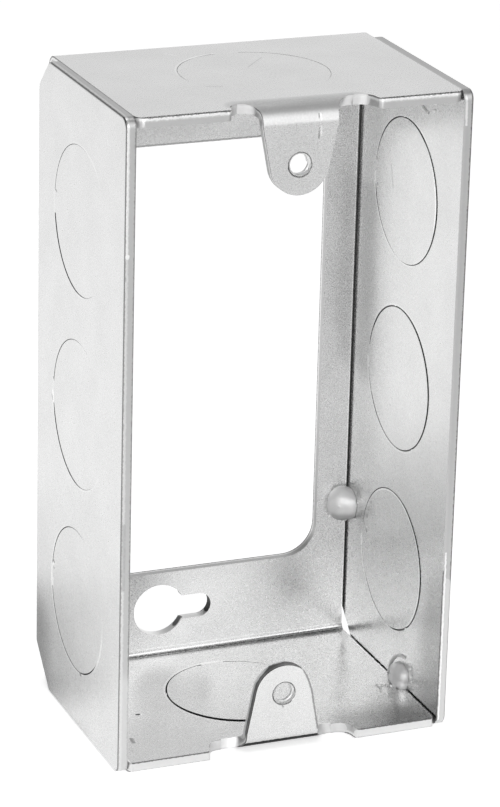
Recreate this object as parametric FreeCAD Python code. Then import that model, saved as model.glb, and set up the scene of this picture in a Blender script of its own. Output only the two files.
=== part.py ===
"""Handy box extension: a folded steel channel closed by two welded side plates.

Millimetres. +Z is up, -Y is the open front, +Y is the back flange. The origin is the
centre of the bottom face, so the box stands on its bottom plate.
"""

import FreeCAD, Part
import math
import os

V = FreeCAD.Vector

# Overall box
box_width = 53.975
box_height = 101.6
box_depth = 38.1
sheet = 1.59

# Folded channel: top plate, back flange and bottom plate
top_seam_gap = 0.01
bottom_seam_gap = 0.2
back_seam_gap_top = 0.45
back_seam_gap_bottom = 0.3
fold_inside_radius = 0.8
top_corner_radius = 1.5
bottom_corner_radius = 1.0
front_edge_roll = 0.35
window_width = 40.0
window_height = 70.6
window_corner_radius = 5.3

# Screw centres shared by the ears and the back flange
screw_spacing = 83.34
keyhole_head_diameter = 8.6
keyhole_slot_width = 4.0
keyhole_travel = 6.8
upper_hole_diameter = 4.8

# Device ears bent from the front edges
ear_recess = 0.6
ear_bend_inside_radius = 1.6
ear_tip_radius = 4.6
ear_shoulder_width = 11.7
ear_root_radius = 3.2
ear_hole_diameter = 3.5
ear_hole_chamfer = 0.2

# Notches that free each ear: the upper left one reaches less far
notch_reach = 11.8
upper_left_notch_reach = 10.8
notch_depth = 3.1
notch_corner_radius = 2.2
notch_mouth_radius = 0.9

# Side plates
corner_cut_top = 4.6
corner_cut_top_radius = 2.2
corner_cut_bottom = 6.2
corner_cut_bottom_radius = 1.0
front_corner_radius = 1.5
plate_edge_roll = 0.4

# Half-inch trade knockouts
knockout_diameter = 22.8
knockout_slit = 0.12
slug_shift = 0.07
knockout_tie = 3.8
knockout_pitch = 30.2

# Weld nuggets in the inner seams
back_nugget_radius = 2.9
back_nugget_height = 23.8
plate_nugget_radius = 1.9
plate_nugget_depth = 14.0
nugget_stand_off = 0.42
out_of_corner = 225

# Sizes worked out from the driving ones
front = -box_depth / 2
back = box_depth / 2
inner_x = box_width / 2 - sheet
inner_back = back - sheet
channel_half_width = inner_x - top_seam_gap
bottom_half_width = inner_x - bottom_seam_gap
fold_outside_radius = fold_inside_radius + sheet
ear_bend_outside_radius = ear_bend_inside_radius + sheet
ear_front = front + ear_recess
bend_start = ear_front + ear_bend_outside_radius
ear_root_half = ear_shoulder_width / 2 + ear_root_radius
screw_inset = (box_height - screw_spacing) / 2

# Cutters run this far, to pass a sheet on both sides
cut_through = 3 * sheet

# Points and planes closer than this are the same
touching = 1e-6

# The curve at each ear's root is made of this many short steps
root_steps = 6


def in_yz(x):
    """Map outline points (y, z) to the plane at x."""
    return lambda a, b: V(x, a, b)


def in_xz(y):
    """Map outline points (x, z) to the plane at y."""
    return lambda a, b: V(a, y, b)


def in_xy(z):
    """Map outline points (x, y) to the plane at z."""
    return lambda a, b: V(a, b, z)


def rounded_face(corners, place):
    """Flat face through corners (a, b, radius), each corner rounded by its radius."""
    starts = []
    middles = []
    ends = []
    count = len(corners)
    for i, (a, b, radius) in enumerate(corners):
        here = V(a, b, 0)
        before = V(*corners[i - 1][:2], 0)
        after = V(*corners[(i + 1) % count][:2], 0)
        to_before = (before - here).normalize()
        to_after = (after - here).normalize()
        half_angle = to_before.getAngle(to_after) / 2
        setback = radius / math.tan(half_angle)
        bisector = (to_before + to_after).normalize()
        centre = here + bisector * (radius / math.sin(half_angle))
        starts.append(here + to_before * setback)
        ends.append(here + to_after * setback)
        middles.append(centre - bisector * radius)
    edges = []
    for i, (a, b, radius) in enumerate(corners):
        if radius > 0:
            points = [place(p.x, p.y) for p in (starts[i], middles[i], ends[i])]
            edges.append(Part.Arc(*points).toShape())
        leave = place(ends[i].x, ends[i].y)
        arrive_at = starts[(i + 1) % count]
        arrive = place(arrive_at.x, arrive_at.y)
        if leave.distanceToPoint(arrive) > touching:
            edges.append(Part.makeLine(leave, arrive))
    return Part.Face(Part.Wire(edges))


def block(x0, x1, y0, y1, z0, z1):
    """Plain box between two corners."""
    return Part.makeBox(x1 - x0, y1 - y0, z1 - z0, V(x0, y0, z0))


def mirrored(shape, normal, through=V(0, 0, 0)):
    """The shape and its mirror image in the plane with this normal."""
    return [shape, shape.mirror(through, normal)]


def knockout_slits(centre, axis, towards_tie, drift):
    """Round shear line through a sheet, left open except at its tie.

    The slug is pressed back a little off centre, so the slit is wider on one side.
    """
    start = centre - axis * (cut_through / 2)
    hole = Part.makeCylinder(knockout_diameter / 2, cut_through, start, axis)
    slug_radius = knockout_diameter / 2 - knockout_slit
    slug = Part.makeCylinder(slug_radius, cut_through, start + drift * slug_shift, axis)
    ring = hole.cut(slug)
    tie = Part.makeBox(knockout_diameter, knockout_tie, cut_through)
    tie.translate(V(0, -knockout_tie / 2, 0))
    across = axis.cross(towards_tie)
    turn = FreeCAD.Placement(
        FreeCAD.Matrix(
            towards_tie.x, across.x, axis.x, start.x,
            towards_tie.y, across.y, axis.y, start.y,
            towards_tie.z, across.z, axis.z, start.z,
            0, 0, 0, 1,
        )
    )
    tie.Placement = turn.multiply(tie.Placement)
    return ring.cut(tie)


def channel_sheet():
    """C-shaped section with its two back folds, run across the width of the box.

    The front edges are sheared, which leaves their outside rims slightly rolled over.
    """
    roll = front_edge_roll
    section = [
        (front, box_height, roll),
        (back, box_height, fold_outside_radius),
        (back, 0, fold_outside_radius),
        (front, 0, roll),
        (front, sheet, 0),
        (inner_back, sheet, fold_inside_radius),
        (inner_back, box_height - sheet, fold_inside_radius),
        (front, box_height - sheet, 0),
    ]
    face = rounded_face(section, in_yz(-channel_half_width))
    return face.extrude(V(2 * channel_half_width, 0, 0))


def seam_trims():
    """Slivers that open the seams: widest at the top of the back flange, less at the base."""
    z_low = sheet + fold_inside_radius
    z_high = box_height - z_low
    outside = inner_x + sheet
    flange_edge = [
        (inner_x - back_seam_gap_bottom, z_low, 0),
        (outside, z_low, 0),
        (outside, z_high, 0),
        (inner_x - back_seam_gap_top, z_high, 0),
    ]
    beside_flange = rounded_face(flange_edge, in_xz(inner_back - sheet)).extrude(V(0, cut_through, 0))
    beside_base = block(bottom_half_width, outside, front - sheet, back + sheet, -sheet, z_low)
    return mirrored(beside_flange, V(1, 0, 0)) + mirrored(beside_base, V(1, 0, 0))


def window():
    """Large rounded opening of the back flange, through to the box behind."""
    x = window_width / 2
    z0 = (box_height - window_height) / 2
    z1 = z0 + window_height
    r = window_corner_radius
    corners = [(-x, z0, r), (x, z0, r), (x, z1, r), (-x, z1, r)]
    face = rounded_face(corners, in_xz(inner_back - sheet))
    return face.extrude(V(0, cut_through, 0))


def flange_hole(x, z, diameter):
    """Round cutter through the back flange."""
    return Part.makeCylinder(diameter / 2, cut_through, V(x, inner_back - sheet, z), V(0, 1, 0))


def keyhole(z):
    """Screw head hole with a slot that ends on the centre line."""
    half_slot = keyhole_slot_width / 2
    y = inner_back - sheet
    head = flange_hole(-keyhole_travel, z, keyhole_head_diameter)
    end = flange_hole(0, z, keyhole_slot_width)
    slot = block(-keyhole_travel, 0, y, y + cut_through, z - half_slot, z + half_slot)
    return head.fuse([slot, end])


def corner_spandrel(x, inward_x, radius, z0):
    """Cutter that rounds a front corner of a flat plate, seen from above."""
    x_far = x + inward_x * radius
    low = min(x, x_far)
    square = block(low, low + radius, front, front + radius, z0, z0 + cut_through)
    round_bar = Part.makeCylinder(radius, cut_through, V(x_far, front + radius, z0))
    return square.cut(round_bar)


def front_cutters(z0, half_width, corner_radius, left_reach):
    """Everything sheared from one front edge: the ear gap, its notches and corners."""
    root = ear_root_half
    cutters = [block(-root, root, front - sheet, bend_start, z0, z0 + cut_through)]
    for side, reach in ((-1, left_reach), (1, notch_reach)):
        mouth = side * reach
        corners = [
            (0, front - sheet, 0),
            (mouth, front - sheet, 0),
            (mouth, front + notch_depth, notch_corner_radius),
            (0, front + notch_depth, 0),
        ]
        cutters.append(rounded_face(corners, in_xy(z0)).extrude(V(0, 0, cut_through)))
        cutters.append(corner_spandrel(mouth, side, notch_mouth_radius, z0))
        cutters.append(corner_spandrel(side * half_width, -side, corner_radius, z0))
    return cutters


def ear_outline():
    """Tapered ear with a round tip, seen from the front and hanging from its full-width root."""
    root = ear_root_half
    shoulder = ear_shoulder_width / 2
    z_shoulder = box_height - ear_bend_outside_radius
    z_hole = box_height - screw_inset
    drop = z_shoulder - z_hole
    # The flank runs from the shoulder to the tangent point on the tip circle.
    distance = math.hypot(shoulder, drop)
    bearing = math.atan2(drop, shoulder)
    angle = bearing - math.acos(ear_tip_radius / distance)
    tangent = V(math.cos(angle), 0, math.sin(angle)) * ear_tip_radius
    right = V(tangent.x, 0, z_hole + tangent.z)
    left = V(-tangent.x, 0, right.z)
    tip = V(0, 0, z_hole - ear_tip_radius)
    path = [
        left,
        V(-shoulder, 0, z_shoulder),
        V(-root, 0, z_shoulder),
        V(-root, 0, box_height + sheet),
        V(root, 0, box_height + sheet),
        V(root, 0, z_shoulder),
        V(shoulder, 0, z_shoulder),
        right,
    ]
    edges = [Part.makeLine(a, b) for a, b in zip(path, path[1:])]
    edges.append(Part.Arc(right, tip, left).toShape())
    return Part.Face(Part.Wire(edges))


def on_bend(radius, turn):
    """Point of the upper ear's bend on the centre line, after the sheet has turned so far."""
    centre = V(0, bend_start, box_height - ear_bend_outside_radius)
    return centre + V(0, -math.sin(turn), math.cos(turn)) * radius


def root_relief():
    """Cutter for the right side of the ear's root, with its wall square to the sheet.

    Along the bend it runs from the notch, round the root radius and down to the shoulder.
    """
    arc = ear_bend_outside_radius
    shoulder = ear_shoulder_width / 2
    notch_end = arc * math.asin((bend_start - front - notch_depth) / arc)
    beyond = ear_root_half + sheet
    inside = ear_bend_inside_radius / 2
    path = []
    for step in range(root_steps + 1):
        turn = math.radians(90 * step / root_steps)
        x = ear_root_half - ear_root_radius * math.sin(turn)
        path.append((x, notch_end + ear_root_radius * (1 - math.cos(turn))))
    bend_end = arc * math.pi / 2
    path.append((shoulder, (path[-1][1] + bend_end) / 2))
    path.append((shoulder, bend_end))
    sections = []
    for x, along in path:
        low = on_bend(inside, along / arc)
        high = on_bend(arc + sheet, along / arc)
        corners = [V(a, p.y, p.z) for a, p in ((x, low), (beyond, low), (beyond, high), (x, high))]
        sections.append(Part.makePolygon(corners + corners[:1]))
    return Part.makeLoft(sections, True, False)


def ear():
    """Upper ear: a strip bent down from the top plate, cut to its outline and holed."""
    z_tip = box_height - screw_inset - ear_tip_radius
    quarter = math.pi / 2
    outer = [on_bend(ear_bend_outside_radius, a) for a in (0, quarter / 2, quarter)]
    inner = [on_bend(ear_bend_inside_radius, a) for a in (quarter, quarter / 2, 0)]
    foot = V(0, ear_front, z_tip - sheet)
    heel = V(0, ear_front + sheet, z_tip - sheet)
    strip = Part.Wire(
        [
            Part.Arc(*outer).toShape(),
            Part.makeLine(outer[2], foot),
            Part.makeLine(foot, heel),
            Part.makeLine(heel, inner[0]),
            Part.Arc(*inner).toShape(),
            Part.makeLine(inner[2], outer[0]),
        ]
    )
    strip = Part.Face(strip).extrude(V(2 * ear_root_half, 0, 0))
    strip.translate(V(-ear_root_half, 0, 0))
    outline = ear_outline().extrude(V(0, box_depth, 0))
    outline.translate(V(0, front, 0))
    blank = strip.common(outline).cut(mirrored(root_relief(), V(1, 0, 0)))

    z_hole = box_height - screw_inset
    radius = ear_hole_diameter / 2
    hole_start = V(0, ear_front - sheet, z_hole)
    hole = Part.makeCylinder(radius, cut_through, hole_start, V(0, 1, 0))
    flare = ear_hole_chamfer
    mouth = Part.makeCone(radius + flare, radius, flare, V(0, ear_front, z_hole), V(0, 1, 0))
    return blank.cut(hole).cut(mouth)


def folded_channel():
    """Top plate, back flange, bottom plate and both ears: one folded sheet."""
    z_top = box_height - 2 * sheet
    upper_hole = flange_hole(0, box_height - screw_inset, upper_hole_diameter)
    cutters = seam_trims() + [window(), keyhole(screw_inset), upper_hole]
    cutters += front_cutters(z_top, channel_half_width, top_corner_radius, upper_left_notch_reach)
    cutters += front_cutters(-sheet, bottom_half_width, bottom_corner_radius, notch_reach)
    up = V(0, 0, 1)
    for z in (sheet / 2, box_height - sheet / 2):
        cutters.append(knockout_slits(V(0, 0, z), up, V(0, 1, 0), V(0, 1, 0)))
    body = channel_sheet().cut(cutters)
    middle = V(0, 0, box_height / 2)
    return body.fuse(mirrored(ear(), up, middle)).removeSplitter()


def side_plate(outer_face_x, inward):
    """Flat blank with three knockouts, its back corners cut and front corners round.

    It was punched from outside, so its outer rim is rolled over and its inner rim sharp.
    """
    cut = corner_cut_top
    base_cut = corner_cut_bottom
    corners = [
        (front, 0, front_corner_radius),
        (back - base_cut, 0, corner_cut_bottom_radius),
        (back, base_cut, corner_cut_bottom_radius),
        (back, box_height - cut, corner_cut_top_radius),
        (back - cut, box_height, corner_cut_top_radius),
        (front, box_height, front_corner_radius),
    ]
    blank = rounded_face(corners, in_yz(outer_face_x)).extrude(V(inward * sheet, 0, 0))
    spans = [(edge, edge.BoundBox) for edge in blank.Edges]
    outer_rim = [
        edge
        for edge, span in spans
        if span.XLength < touching and abs(span.XMin - outer_face_x) < touching
    ]
    blank = blank.makeFillet(plate_edge_roll, outer_rim)
    x_middle = outer_face_x + inward * sheet / 2
    drift = V(0, -1, 1).normalize()
    slits = []
    for step in (-1, 0, 1):
        centre = V(x_middle, 0, box_height / 2 + step * knockout_pitch)
        slits.append(knockout_slits(centre, V(1, 0, 0), V(0, 1, 0), drift))
    return blank.cut(slits)


def nugget(radius, centre, corner_box):
    """Ball of weld metal that fills a seam and stops at both sheets."""
    ball = Part.makeSphere(radius, centre)
    # The ball's own seam line faces out of the corner, clear of the sheets that trim it.
    ball.rotate(centre, V(0, 0, 1), out_of_corner)
    return ball.common(corner_box)


def right_seam_nuggets():
    """Nuggets that hold the right side plate: on the back, bottom and top seams."""
    inside = block(-inner_x, inner_x, front, inner_back, sheet, box_height - sheet)
    back_off = back_nugget_radius * nugget_stand_off
    plate_off = plate_nugget_radius * nugget_stand_off
    y_plate = front + plate_nugget_depth
    z_bottom = sheet + plate_off
    back_centre = V(inner_x - back_off, inner_back - back_off, back_nugget_height)
    bottom_centre = V(inner_x - plate_off, y_plate, z_bottom)
    top_centre = V(inner_x - plate_off, y_plate, box_height - z_bottom)
    return Part.makeCompound(
        [
            nugget(back_nugget_radius, back_centre, inside),
            nugget(plate_nugget_radius, bottom_centre, inside),
            nugget(plate_nugget_radius, top_centre, inside),
        ]
    )


right_welds, left_welds = mirrored(right_seam_nuggets(), V(1, 0, 0))
nodes = {
    "folded_channel": folded_channel(),
    "left_side_plate": side_plate(-box_width / 2, 1),
    "right_side_plate": side_plate(box_width / 2, -1),
    "left_seam_welds": left_welds,
    "right_seam_welds": right_welds,
}

os.makedirs("parts", exist_ok=True)
for name, shape in nodes.items():
    shape.exportStep(f"parts/{name}.step")
    print(name, len(shape.Solids), "solids", round(shape.Volume, 1), "mm3", shape.isValid())
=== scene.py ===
import bpy
import bmesh
import math
from mathutils import Matrix, Vector


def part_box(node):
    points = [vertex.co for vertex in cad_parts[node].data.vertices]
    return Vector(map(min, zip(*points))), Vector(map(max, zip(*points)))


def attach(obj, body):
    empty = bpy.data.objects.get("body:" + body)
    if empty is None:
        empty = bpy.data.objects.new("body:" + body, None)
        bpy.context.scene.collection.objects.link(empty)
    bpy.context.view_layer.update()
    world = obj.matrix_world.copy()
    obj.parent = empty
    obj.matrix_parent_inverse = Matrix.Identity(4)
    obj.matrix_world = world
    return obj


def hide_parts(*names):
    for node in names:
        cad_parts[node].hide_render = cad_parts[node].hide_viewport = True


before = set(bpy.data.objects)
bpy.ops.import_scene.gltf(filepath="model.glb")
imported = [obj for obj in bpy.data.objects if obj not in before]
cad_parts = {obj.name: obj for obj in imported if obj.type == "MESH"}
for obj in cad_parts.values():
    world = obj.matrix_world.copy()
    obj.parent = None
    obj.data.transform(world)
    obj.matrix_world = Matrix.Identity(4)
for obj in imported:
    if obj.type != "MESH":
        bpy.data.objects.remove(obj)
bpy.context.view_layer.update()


# Folded channel. One blank of galvanised steel sheet, punched flat with its window, holes and
# notches, then folded twice into top plate, back flange and bottom plate. Both device ears are
# bent from its front edges, and its sheared edges are left as the punch broke them.
MM = 0.001
sheet = 1.59 * MM
fold_radius = 0.8 * MM + sheet
ear_bend_radius = 1.6 * MM + sheet
ear_recess = 0.6 * MM
ear_root = 9.1 * MM
channel_low, channel_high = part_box("folded_channel")
front = channel_low.y
back = channel_high.y
top = channel_high.z
ear_front = front + ear_recess
knockout_radius = 11.4 * MM
slug_edge = (11.1 * MM, 11.38 * MM)
lip_width = 0.13 * MM
wider_along_y = 1.4
zinc_light = "#E8E8E8"
zinc_dark = "#DDDDDD"
# White for real scuffs, pips and a scratch, and for painted highlights on burrs, folds, lips and hole walls.
scuff_and_highlight_white = "#FFFFFF"
# Grey for real smudges and scratches, and for painted shade on bends, under the top plate, low on the plates
# and on a weld.
dull_and_shade_grey = "#8E8E8E"
# Near black for a real speck, and mostly for painted shade in the seams, creases, keyhole and under the lower
# ear.
grime_and_shade_black = "#161616"
# Painted shade: the rolled rims are laid a darker grey.
rolled_rim_shade = "#8C8C8C"
zinc_roughness = 0.28
stretched_roughness = 0.2
# The zinc's own grain is too fine to show, so it is drawn coarser.
grain = 0.28 * MM
cloud = 7.0 * MM
grain_height = 0.003 * MM
grain_bump = 0.5
cloud_share = 0.35
roughness_spread = 0.04
drawn_rim_middle = 0.10
drawn_rim_half = 0.07
# Painted light: a pale grey laid on the low front edges and on the notch walls.
painted_edge_light = "#E6E6E6"
tear = 0.35 * MM
tear_height = 0.02 * MM
tear_bump = 0.6
tear_wander = 0.05
sheared_roughness = 0.42
ragged_by = 0.12 * MM
ragged_size = 0.5 * MM
near_sheet = 3 * sheet
merge_distance = 1e-6
sheet_smooth_angle = math.radians(40)


def linear(hex_colour):
    """An sRGB hex colour as linear red, green, blue and full alpha."""
    channels = [int(hex_colour[i:i + 2], 16) / 255 for i in (1, 3, 5)]
    turned = [c / 12.92 if c <= 0.04045 else ((c + 0.055) / 1.055) ** 2.4 for c in channels]
    return (*turned, 1.0)


def new_material(name):
    """An empty node material."""
    made = bpy.data.materials.new(name)
    made.use_nodes = True
    made.node_tree.nodes.clear()
    return made


def add_node(tree, kind, settings=None, links=None):
    """Adds a node, sets its properties or sockets, and links outputs into its sockets."""
    node = tree.nodes.new(kind)
    for key, value in (settings or {}).items():
        if isinstance(key, str) and hasattr(node, key):
            setattr(node, key, value)
        else:
            node.inputs[key].default_value = value
    for key, output in (links or {}).items():
        tree.links.new(output, node.inputs[key])
    return node


def set_ramp(node, stops):
    """Gives a colour ramp its stops, each a position and a linear colour."""
    ramp = node.color_ramp
    while len(ramp.elements) < len(stops):
        ramp.elements.new(1.0)
    for element, (position, colour) in zip(ramp.elements, stops):
        element.position = position
        element.color = colour


def mark_mask(tree, place, marks):
    """How much of a mark lies on each point: 0 to the mark's own strength.

    Each mark is a short stroke: start, end, half width, soft edge, all in mm, and strength.
    """
    most = None
    for start, end, half_width, soft, strength in marks:
        start, end = Vector(start) * MM, Vector(end) * MM
        run = end - start
        from_start = add_node(tree, "ShaderNodeVectorMath", {"operation": "SUBTRACT", 1: start}, {0: place})
        nearest = from_start.outputs["Vector"]
        if run.length > 0:
            share = add_node(
                tree, "ShaderNodeVectorMath", {"operation": "DOT_PRODUCT", 1: run / run.length_squared},
                {0: nearest},
            )
            held = add_node(
                tree, "ShaderNodeClamp", {"Min": 0.0, "Max": 1.0}, {"Value": share.outputs["Value"]}
            )
            along = add_node(
                tree, "ShaderNodeVectorMath", {"operation": "SCALE", 0: run},
                {"Scale": held.outputs["Result"]},
            )
            nearest = add_node(
                tree, "ShaderNodeVectorMath", {"operation": "SUBTRACT"},
                {0: nearest, 1: along.outputs["Vector"]},
            ).outputs["Vector"]
        away = add_node(tree, "ShaderNodeVectorMath", {"operation": "LENGTH"}, {0: nearest})
        mask = add_node(
            tree, "ShaderNodeMapRange",
            {
                "interpolation_type": "SMOOTHSTEP",
                "From Min": half_width * MM, "From Max": (half_width + soft) * MM,
                "To Min": strength, "To Max": 0.0,
            },
            {"Value": away.outputs["Value"]},
        ).outputs["Result"]
        if most is None:
            most = mask
        else:
            most = add_node(tree, "ShaderNodeMath", {"operation": "MAXIMUM"}, {0: most, 1: mask}).outputs[0]
    return most


def paint_marks(tree, place, tone, marks):
    """Lays strokes over a tone. marks pairs each colour with its strokes, whose edges are ragged."""
    ragged = add_node(
        tree, "ShaderNodeTexNoise", {"Scale": 1 / ragged_size, "Detail": 1.0}, {"Vector": place}
    ).outputs["Color"]
    ragged = add_node(
        tree, "ShaderNodeVectorMath", {"operation": "SUBTRACT", 1: (0.5, 0.5, 0.5)}, {0: ragged}
    ).outputs["Vector"]
    moved = add_node(
        tree, "ShaderNodeVectorMath", {"operation": "MULTIPLY_ADD", 1: (2 * ragged_by,) * 3},
        {0: ragged, 2: place},
    ).outputs["Vector"]
    for colour, strokes in marks:
        mask = mark_mask(tree, moved, strokes)
        tone = add_node(
            tree, "ShaderNodeMix", {"data_type": "RGBA", 7: linear(colour)}, {0: mask, 6: tone}
        ).outputs[2]
    return tone


def galvanised(name, knockouts, marks, stretched=()):
    """Galvanised sheet: a soft grey sheen with a fine grain, the marks of its making, and
    painted light and shade laid on as marks.

    Each knockout gives its middle, the axis square to its sheet, and round its slit the angle,
    the gap in mm, and how brightly the lips of the sheet and the slug are painted white, partly as
    wear and partly as painted highlight. The zinc is duller where the sheet was stretched, which
    is given by strokes as the marks are.
    """
    made = new_material(name)
    tree = made.node_tree
    place = add_node(tree, "ShaderNodeTexCoord").outputs["Object"]
    fine = add_node(
        tree, "ShaderNodeTexNoise", {"Scale": 1 / grain, "Detail": 2.0, "Roughness": 0.6}, {"Vector": place}
    ).outputs["Fac"]
    broad = add_node(
        tree, "ShaderNodeTexNoise", {"Scale": 1 / cloud, "Detail": 3.0, "Roughness": 0.5}, {"Vector": place}
    ).outputs["Fac"]
    blend = add_node(
        tree, "ShaderNodeMix", {"data_type": "FLOAT", 0: cloud_share}, {2: fine, 3: broad}
    ).outputs[0]
    tone = add_node(tree, "ShaderNodeValToRGB", {}, {"Fac": blend}).outputs["Color"]
    set_ramp(tone.node, [(0.38, linear(zinc_dark)), (0.62, linear(zinc_light))])
    for middle, axis, rim, _ in knockouts:
        spot = add_node(
            tree, "ShaderNodeVectorMath", {"operation": "SUBTRACT", 1: Vector(middle) * MM}, {0: place}
        )
        parts = add_node(tree, "ShaderNodeSeparateXYZ", {}, {0: spot.outputs["Vector"]}).outputs
        over, up, off = ("X", "Y", "Z") if axis == "Z" else ("Y", "Z", "X")
        turn = add_node(
            tree, "ShaderNodeMath", {"operation": "ARCTAN2"}, {0: parts[up], 1: parts[over]}
        ).outputs[0]
        share = add_node(
            tree, "ShaderNodeMath", {"operation": "MULTIPLY", 1: 1 / math.tau}, {0: turn}
        ).outputs[0]
        share = add_node(tree, "ShaderNodeMath", {"operation": "FRACT"}, {0: share}).outputs[0]
        lips = add_node(tree, "ShaderNodeValToRGB", {}, {"Fac": share}).outputs["Color"]
        set_ramp(
            lips.node,
            [(angle / 360, (sheet_lip, slug_lip, 0, 1)) for angle, _, sheet_lip, slug_lip in rim],
        )
        lips = add_node(tree, "ShaderNodeSeparateColor", {}, {0: lips}).outputs
        flat = [0 if part == off else 1 for part in "XYZ"]
        away = add_node(
            tree, "ShaderNodeVectorMath", {"operation": "MULTIPLY", 1: flat}, {0: spot.outputs["Vector"]}
        )
        away = add_node(
            tree, "ShaderNodeVectorMath", {"operation": "LENGTH"}, {0: away.outputs["Vector"]}
        ).outputs["Value"]
        near = add_node(
            tree, "ShaderNodeMath", {"operation": "COMPARE", 1: 0.0, 2: near_sheet}, {0: parts[off]}
        ).outputs[0]
        wide = add_node(tree, "ShaderNodeMath", {"operation": "ABSOLUTE"}, {0: parts["Y"]}).outputs[0]
        wide = add_node(
            tree, "ShaderNodeMath",
            {"operation": "MULTIPLY_ADD", 1: wider_along_y * lip_width / knockout_radius, 2: lip_width},
            {0: wide},
        ).outputs[0]
        # Lip rings painted white: partly wear, partly painted highlight where a lip catches the light.
        sheet_ring = (knockout_radius + lip_width, lips[0])
        slug_ring = (knockout_radius - 2 * lip_width, lips[1])
        for radius, lip in (sheet_ring, slug_ring):
            ring = add_node(
                tree, "ShaderNodeMath", {"operation": "COMPARE", 1: radius}, {0: away, 2: wide}
            ).outputs[0]
            ring = add_node(tree, "ShaderNodeMath", {"operation": "MULTIPLY"}, {0: ring, 1: near}).outputs[0]
            rubbed_and_lit = add_node(tree, "ShaderNodeMath", {"operation": "MULTIPLY"}, {0: ring, 1: lip}).outputs[0]
            tone = add_node(
                tree, "ShaderNodeMix", {"data_type": "RGBA", 7: linear(scuff_and_highlight_white)}, {0: rubbed_and_lit, 6: tone}
            ).outputs[2]
    across = add_node(tree, "ShaderNodeAttribute", {"attribute_name": "across"}).outputs["Fac"]
    # Painted shade: the drawn rim band is laid darker grey.
    drawn = add_node(
        tree, "ShaderNodeMath", {"operation": "COMPARE", 1: drawn_rim_middle, 2: drawn_rim_half},
        {0: across},
    ).outputs[0]
    tone = add_node(
        tree, "ShaderNodeMix", {"data_type": "RGBA", 7: linear(rolled_rim_shade)}, {0: drawn, 6: tone}
    ).outputs[2]
    tone = paint_marks(tree, place, tone, marks)
    rough = add_node(
        tree, "ShaderNodeMapRange",
        {
            "From Min": 0.3, "From Max": 0.7,
            "To Min": zinc_roughness - roughness_spread, "To Max": zinc_roughness + roughness_spread,
        },
        {"Value": fine},
    ).outputs["Result"]
    if stretched:
        rough = add_node(
            tree, "ShaderNodeMath", {"operation": "MULTIPLY_ADD", 1: stretched_roughness},
            {0: mark_mask(tree, place, stretched), 2: rough},
        ).outputs[0]
    bump = add_node(
        tree, "ShaderNodeBump", {"Strength": grain_bump, "Distance": grain_height}, {"Height": fine}
    ).outputs["Normal"]
    shader = add_node(
        tree, "ShaderNodeBsdfPrincipled", {"Metallic": 1.0},
        {"Base Color": tone, "Roughness": rough, "Normal": bump},
    )
    add_node(tree, "ShaderNodeOutputMaterial", {}, {"Surface": shader.outputs["BSDF"]})
    return made


def sheared(name, bands, marks):
    """Sheared steel edge: a drawn rim painted dark as shade, a band burnished bright by the punch, and a torn
    grey one.

    bands gives the colours by the attribute "across", 0 at the sheet's outer face and 1 at its inner.
    """
    made = new_material(name)
    tree = made.node_tree
    place = add_node(tree, "ShaderNodeTexCoord").outputs["Object"]
    across = add_node(tree, "ShaderNodeAttribute", {"attribute_name": "across"}).outputs["Fac"]
    torn = add_node(
        tree, "ShaderNodeTexNoise", {"Scale": 1 / tear, "Detail": 2.0, "Roughness": 0.6}, {"Vector": place}
    ).outputs["Fac"]
    wander = add_node(
        tree, "ShaderNodeMapRange",
        {"From Min": 0.3, "From Max": 0.7, "To Min": -tear_wander, "To Max": tear_wander},
        {"Value": torn},
    ).outputs["Result"]
    level = add_node(tree, "ShaderNodeMath", {"operation": "ADD"}, {0: across, 1: wander}).outputs[0]
    tone = add_node(tree, "ShaderNodeValToRGB", {}, {"Fac": level}).outputs["Color"]
    set_ramp(tone.node, [(position, linear(colour)) for position, colour in bands])
    tone = paint_marks(tree, place, tone, marks)
    bump = add_node(
        tree, "ShaderNodeBump", {"Strength": tear_bump, "Distance": tear_height}, {"Height": torn}
    ).outputs["Normal"]
    shader = add_node(
        tree, "ShaderNodeBsdfPrincipled", {"Metallic": 1.0, "Roughness": sheared_roughness},
        {"Base Color": tone, "Normal": bump},
    )
    add_node(tree, "ShaderNodeOutputMaterial", {}, {"Surface": shader.outputs["BSDF"]})
    return made


def slit_gap(rim, angle):
    """The gap of a knockout's slit at an angle in degrees, in metres."""
    stops = [(rim[-1][0] - 360, rim[-1][1])] + [stop[:2] for stop in rim] + [(rim[0][0] + 360, rim[0][1])]
    for (a, gap_a), (b, gap_b) in zip(stops, stops[1:]):
        if a <= angle <= b:
            return (gap_a + (gap_b - gap_a) * (angle - a) / (b - a)) * MM
    return rim[0][1] * MM


def along_y(off):
    """How far a point of a knockout's rim lies towards its front or back: 0 at its sides, 1 at either end."""
    return min(abs(off.y) / knockout_radius, 1.0)


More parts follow.
